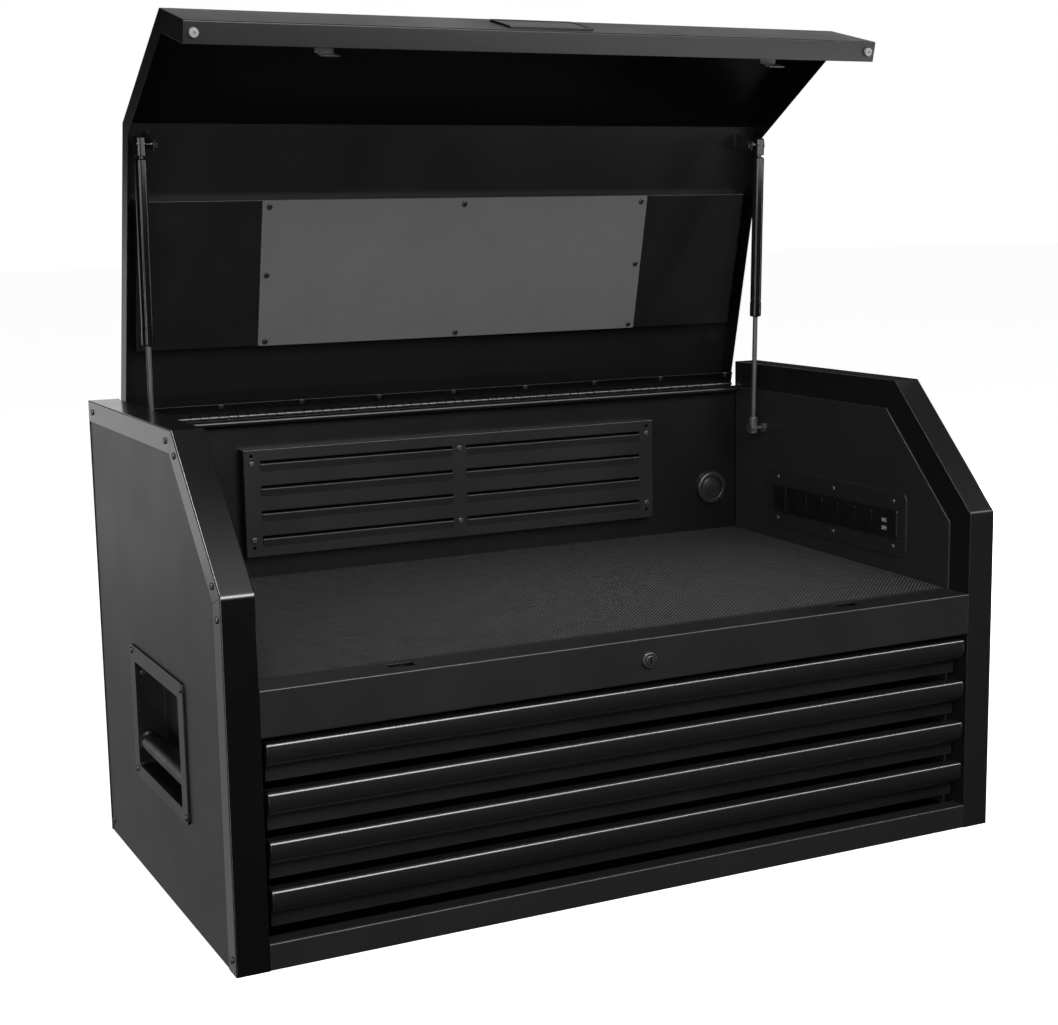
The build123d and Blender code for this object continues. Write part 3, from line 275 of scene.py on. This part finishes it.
M["plate"] = plate_grey()
M["mat"] = mat_foam()
M["hinge"] = steel("hinge_black_steel", (0.035, 0.035, 0.036), (0.075, 0.075, 0.076), 0.26, 0.40, (0.15, 1, 1))
M["zinc"] = steel("slide_black_zinc", (0.06, 0.061, 0.063), (0.10, 0.101, 0.104), 0.32, 0.44, (1, 0.04, 1))
M["rod"] = steel("strut_rod_steel", (0.085, 0.085, 0.088), (0.125, 0.125, 0.128), 0.36, 0.44, (1, 1, 0.05), metallic=0.35)
M["lock"] = steel("lock_dark_chrome", (0.045, 0.045, 0.046), (0.080, 0.080, 0.082), 0.24, 0.34, (1, 0.3, 1), 500, metallic=0.5)
M["screw"] = steel("screw_black_oxide", (0.08, 0.08, 0.082), (0.15, 0.15, 0.152), 0.26, 0.42, (1, 1, 1), 1500, metallic=0.7)
M["screw_dark"] = steel("screw_dark_oxide", grey(0.030), grey(0.065), 0.26, 0.40, (1, 1, 1), 1500, metallic=0.7)
M["bracket"] = steel("bracket_dark_steel", grey(0.030), grey(0.055), 0.36, 0.48, metallic=0.5)
M["tube"] = powder("strut_tube_black", (0.0050, 0.0050, 0.0052), (0.0080, 0.0080, 0.0083), 0.14, 0.18, 0.03)
M["grip"] = plastic("grip_black", (0.011, 0.011, 0.0112), (0.019, 0.019, 0.0193), 0.34, 0.44, 1200, 0.2)
M["plastic"] = plastic("black_plastic", (0.009, 0.009, 0.0092), (0.016, 0.016, 0.0162), 0.34, 0.48)
M["strip"] = plastic("black_plastic_strip", grey(0.005), grey(0.009), 0.30, 0.42)
M["grommet"] = plastic("black_plastic_grommet", grey(0.016), grey(0.026), 0.26, 0.34)
M["leaf"] = hinge_leaf()
M["white"] = plastic("white_plastic", (0.80, 0.81, 0.81), (0.90, 0.91, 0.91), 0.28, 0.4)
M["badge"] = powder("bare_badge", *black(0.0110, 0.15), 0.30, 0.33, 0.02, slow=4)
M["bumper"] = plastic("bumper_grey", (0.36, 0.36, 0.355), (0.50, 0.50, 0.495), 0.45, 0.6)

PAINT = {
    "left_outer_panel": "coat_side", "right_outer_panel": "coat_side", "side_handle_pans": "pan",
    "left_inner_panel": "wall", "right_inner_panel": "wall", "left_edge_frame": "frame",
    "right_edge_frame": "frame_right_lit_copy", "back_panel": "coat_in", "base_pan": "coat_in", "bottom_rail": "rail",
    "front_rail": "rail", "till_floor": "coat_in", "louvre_panel": "louvre", "lid_shell": "lid",
    "lid_stiffener": "lid", "strut_upper_brackets": "bracket", "lid_strikers": "coat_in",
    "till_mat": "mat", "side_handle_bars": "grip", "cable_grommet": "grommet", "grommet_cap": "grommet",
    "power_strip_plate": "strip_plate", "power_strip_housing": "strip", "power_cord_gland": "plastic",
    "usb_ports": "white", "interior_screws": "screw", "case_screws": "screw", "lid_plate_screws": "screw_dark",
    "hinge_rivets": "screw_dark", "lock_body": "lock", "lock_plug": "lock", "hinge_lower_leaf": "hinge",
    "hinge_upper_leaf": "leaf", "hinge_pin": "hinge", "slide_outer_members": "zinc", "latch_bar": "zinc",
    "left_strut_rod": "rod", "right_strut_rod": "rod", "strut_lower_studs": "rod",
    "left_strut_cylinder": "tube", "right_strut_cylinder": "tube", "lid_plate": "plate",
    "lid_nameplate": "badge", "lid_bumpers": "bumper",
}
for i in range(1, 5):
    PAINT["drawer_%d_box" % i] = "drawer"
    PAINT["drawer_%d_pull" % i] = "pull"
    PAINT["drawer_%d_slide_inner" % i] = "zinc"
    PAINT["drawer_%d_slide_mid" % i] = "zinc"
for name, obj in nodes.items():
    obj.data.materials.clear()
    obj.data.materials.append(M[PAINT[name]])


# --------------------------------------------------------------------------- the mat
def make_mat():
    """Foam liner with a fine diamond relief on top, lying on the sloping till floor."""
    lo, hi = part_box("till_mat")
    x0, x1, y0, y1 = lo.x, hi.x, lo.y, hi.y
    f_top, b_top, thick, relief, step = 0.3585, 0.3665, 0.0053, 0.0013, 0.0034
    nx, ny = int((x1 - x0) / step), int((y1 - y0) / step)

    def top(y):
        return f_top + (b_top - f_top) * (y - y0) / (y1 - y0)

    verts, faces = [], []
    for j in range(ny + 1):
        y = y0 + (y1 - y0) * j / ny
        for i in range(nx + 1):
            x = x0 + (x1 - x0) * i / nx
            edge = i in (0, nx) or j in (0, ny)
            up = (i + j) % 2 == 1 and not edge
            verts.append((x, y, top(y) - (0.00005 if up else relief)))
    w = nx + 1
    for j in range(ny):
        for i in range(nx):
            a, b, c, d = j * w + i, j * w + i + 1, (j + 1) * w + i + 1, (j + 1) * w + i
            if (i + j) % 2 == 0:
                faces += [(a, b, c), (a, c, d)]
            else:
                faces += [(a, b, d), (b, c, d)]
    rim = [i for i in range(w)] + [j * w + nx for j in range(1, ny + 1)]
    rim += [ny * w + i for i in range(nx - 1, -1, -1)] + [j * w for j in range(ny - 1, 0, -1)]
    base = len(verts)
    for k in rim:
        x, y, z = verts[k]
        verts.append((x, y, top(y) - thick + 0.0001))
    n = len(rim)
    for k in range(n):
        faces.append((rim[(k + 1) % n], rim[k], base + k, base + (k + 1) % n))
    faces.append(tuple(base + k for k in range(n - 1, -1, -1)))
    me = bpy.data.meshes.new("ribbed_mat")
    me.from_pydata(verts, [], faces)
    # 1 on the raised vertices; the mat material uses it for painted shade in the valleys and a painted
    # highlight on the crests
    height = me.attributes.new("relief", "FLOAT", "POINT")
    height.data.foreach_set("value", [1.0 if k < base and verts[k][2] > top(verts[k][1]) - 0.0001 else 0.0
                                      for k in range(len(verts))])
    me.materials.append(M["mat"])
    ob = bpy.data.objects.new("ribbed_mat", me)
    scene.collection.objects.link(ob)
    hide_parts("till_mat")
    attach(ob, "case")


make_mat()


# ------------------------------------------------------------------- floor and light
def make_stage():
    me = bpy.data.meshes.new("floor")
    s = 30.0
    me.from_pydata([(-s, -s, -0.0005), (s, -s, -0.0005), (s, s, -0.0005), (-s, s, -0.0005)], [], [(0, 1, 2, 3)])
    floor = bpy.data.objects.new("floor", me)
    scene.collection.objects.link(floor)
    m = Mat("floor_pale", (0.86, 0.86, 0.86), 0.7, spec=0.0)
    m.color(m.ramp(m.noise(3, 3), [(0.2, (0.85, 0.85, 0.85)), (0.8, (0.88, 0.88, 0.88))]))
    m.b.inputs["Emission Color"].default_value = (1, 1, 1, 1)
    m.b.inputs["Emission Strength"].default_value = 0.975
    me.materials.append(m.m)
    floor.visible_glossy = False
    floor.visible_diffuse = False
    floor.visible_shadow = False

    world = bpy.data.worlds.new("studio")
    world.use_nodes = True
    bg = world.node_tree.nodes["Background"]
    bg.inputs["Color"].default_value = (1, 1, 1, 1)
    bg.inputs["Strength"].default_value = 1.0
    scene.world = world
    world.cycles_visibility.glossy = False
    world.cycles_visibility.diffuse = False

    def softbox(name, loc, target, sx, sy, radiance, diffuse=True, glossy=True):
        """A flat panel of even radiance; it can light the scene, be a reflection, or both."""
        d = bpy.data.lights.new(name, "AREA")
        d.shape = "RECTANGLE"
        d.size, d.size_y = sx, sy
        d.energy = radiance * math.pi * sx * sy
        o = bpy.data.objects.new(name, d)
        scene.collection.objects.link(o)
        o.location = loc
        o.rotation_euler = (Vector(target) - Vector(loc)).to_track_quat("-Z", "Y").to_euler()
        o.visible_camera = False
        o.visible_diffuse = diffuse
        o.visible_glossy = glossy
        return o

    # base light, soft and from the front
    softbox("key", (0.4, -3.3, 2.4), (0.0, 0.0, 0.5), 2.4, 2.4, 5.6)
    softbox("fill", (-2.4, -2.9, 1.5), (0.1, 0.0, 0.5), 1.6, 1.6, 4.0)
    # panels that the coat reflects
    softbox("back_left", (-1.9, 2.9, -0.75), (-0.58, 0.0, 0.15), 4.2, 3.2, 0.37, diffuse=False)
    softbox("back_left_high", (-2.0, 2.9, 0.40), (-0.58, 0.0, 0.45), 4.2, 1.2, 0.46, diffuse=False)
    softbox("top_front", (1.2, -2.2, 2.3), (0.1, -0.3, 0.4), 4.4, 0.6, 12.0, diffuse=False)
    softbox("overhead", (-0.5, -0.75, 2.9), (0.0, -0.25, 0.5), 2.4, 0.9, 0.5, diffuse=False)
    softbox("knee_card", (-0.13, -0.93, 1.9), (-0.56, -0.28, 0.5), 0.6, 0.6, 1.0, diffuse=False)
    softbox("edge_card", (-0.9, -0.55, 2.2), (0.56, -0.2, 0.55), 0.5, 0.5, 30.0, diffuse=False)
    softbox("edge_strip", (-1.7, -2.05, -0.1), (0.3, -0.3, 0.3), 0.3, 1.4, 8.0, diffuse=False)
    softbox("back_right", (2.8, 3.2, 2.6), (0.5, 0.0, 1.2), 2.6, 1.2, 0.6, diffuse=False)
    softbox("back", (0.4, 3.4, 1.6), (-0.2, 0.2, 0.8), 2.0, 2.2, 0.85, diffuse=False)
    softbox("back_low", (2.1, 4.5, -0.7), (0.2, 0.3, 0.4), 3.6, 1.4, 0.7, diffuse=False)
    softbox("right_low", (2.6, 2.9, -0.75), (0.58, 0.0, 0.15), 3.4, 2.4, 0.35, diffuse=False)
    softbox("right_rear", (3.0, 1.6, 1.0), (0.3, 0.2, 0.4), 1.6, 1.6, 12.0, glossy=False)
    softbox("right_card", (2.9, 1.5, -0.3), (0.58, 0.0, 0.3), 1.6, 1.6, 0.35, diffuse=False)
    softbox("lip_card", (0.25, -0.46, 1.03), (0.05, -0.07, 1.16), 1.7, 0.16, 2.6, diffuse=False)
    softbox("strip_left", (-2.4, -1.3, 0.7), (-0.5, 0.2, 0.75), 0.14, 2.2, 9.0, diffuse=False)
    softbox("strip_right", (2.6, -0.7, 0.7), (0.5, 0.2, 0.75), 0.14, 2.2, 9.0, diffuse=False)


make_stage()
